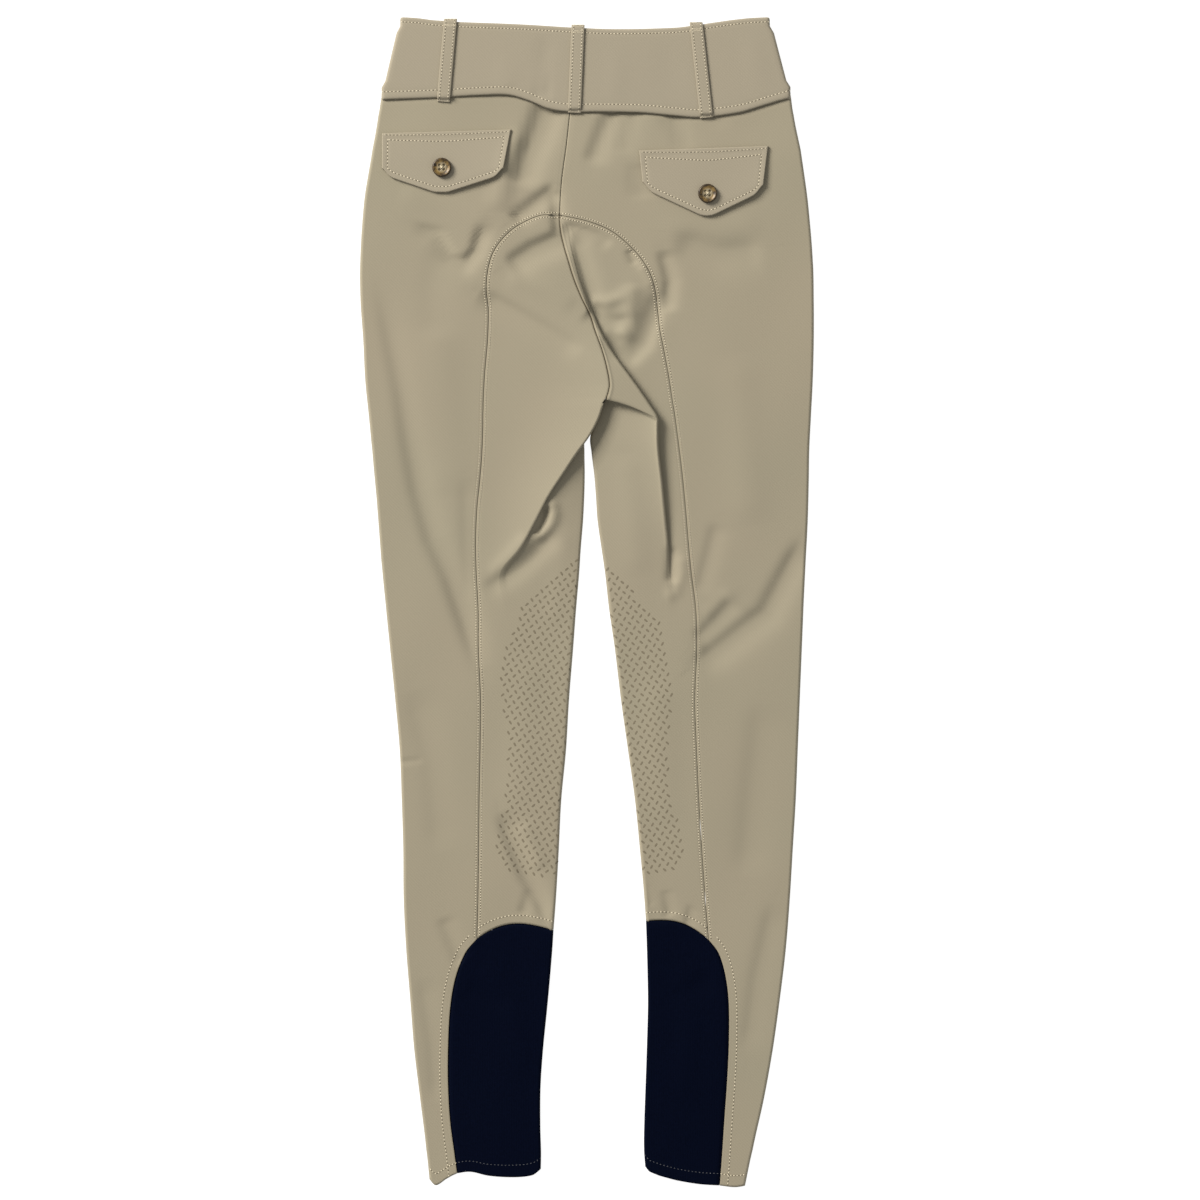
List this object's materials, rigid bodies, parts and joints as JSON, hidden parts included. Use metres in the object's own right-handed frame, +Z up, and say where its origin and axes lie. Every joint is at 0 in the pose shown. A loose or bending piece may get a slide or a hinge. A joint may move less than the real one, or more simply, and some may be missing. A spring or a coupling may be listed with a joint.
{
  "type": "riding breeches laid flat",
  "caption": "Full-seat riding breeches lying flat on their front, with contoured waistband, buttoned pocket flaps, belt loops and stretch calf panels.",
  "frame": {"origin": "middle of the laid garment's box, on the surface that it lies on", "axes": "+X towards the wearer's right side as laid, +Y towards the waist, +Z up off the surface, which the back of the garment faces"},
  "size_m": [0.3635, 0.9364, 0.0144],
  "materials": {
    "stretch_cloth": "matt khaki stretch weave",
    "band_cloth": "matt khaki stretch weave, lined double",
    "stretch_knit": "navy stretch knit",
    "horn_button": "mottled brown polyester, horn effect"
  },
  "bodies": {
    "root": {"waistband": "band_cloth", "back_left": "stretch_cloth", "back_right": "stretch_cloth", "seat_left": "stretch_cloth", "seat_right": "stretch_cloth", "calf_left": "stretch_knit", "calf_right": "stretch_knit", "front_left": "stretch_cloth", "front_right": "stretch_cloth", "flap_left": "band_cloth", "flap_right": "band_cloth", "button_left": "horn_button", "button_right": "horn_button", "loop_back_left": "band_cloth", "loop_back_centre": "band_cloth", "loop_back_right": "band_cloth", "loop_front_left": "band_cloth", "loop_front_right": "band_cloth"}
  },
  "joints": []
}
